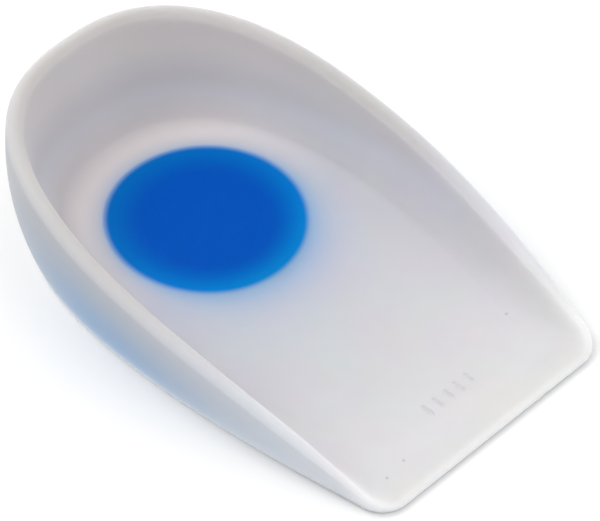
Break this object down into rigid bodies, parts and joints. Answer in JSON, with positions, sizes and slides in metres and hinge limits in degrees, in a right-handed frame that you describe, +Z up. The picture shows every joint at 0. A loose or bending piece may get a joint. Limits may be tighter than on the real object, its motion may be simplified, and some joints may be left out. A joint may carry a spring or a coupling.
{
  "type": "silicone heel cup",
  "caption": "Soft clear silicone heel cup for a shoe, with a high rim round the heel, a thin straight front edge and a round softer gel spot under the heel.",
  "frame": {"origin": "on the underside, below the middle of the cup's length and width", "axes": "+Y towards the back of the heel, -Y towards the thin front edge, +X across the foot, +Z up out of the cup"},
  "size_m": [0.0758, 0.115, 0.03],
  "materials": {
    "clear_silicone": "milky translucent silicone, smooth satin skin, cloudy where it is thick",
    "blue_gel": "softer silicone gel, strong blue, satin"
  },
  "bodies": {
    "root": {"heel_cup": "clear_silicone", "gel_spot": "blue_gel"}
  },
  "joints": []
}
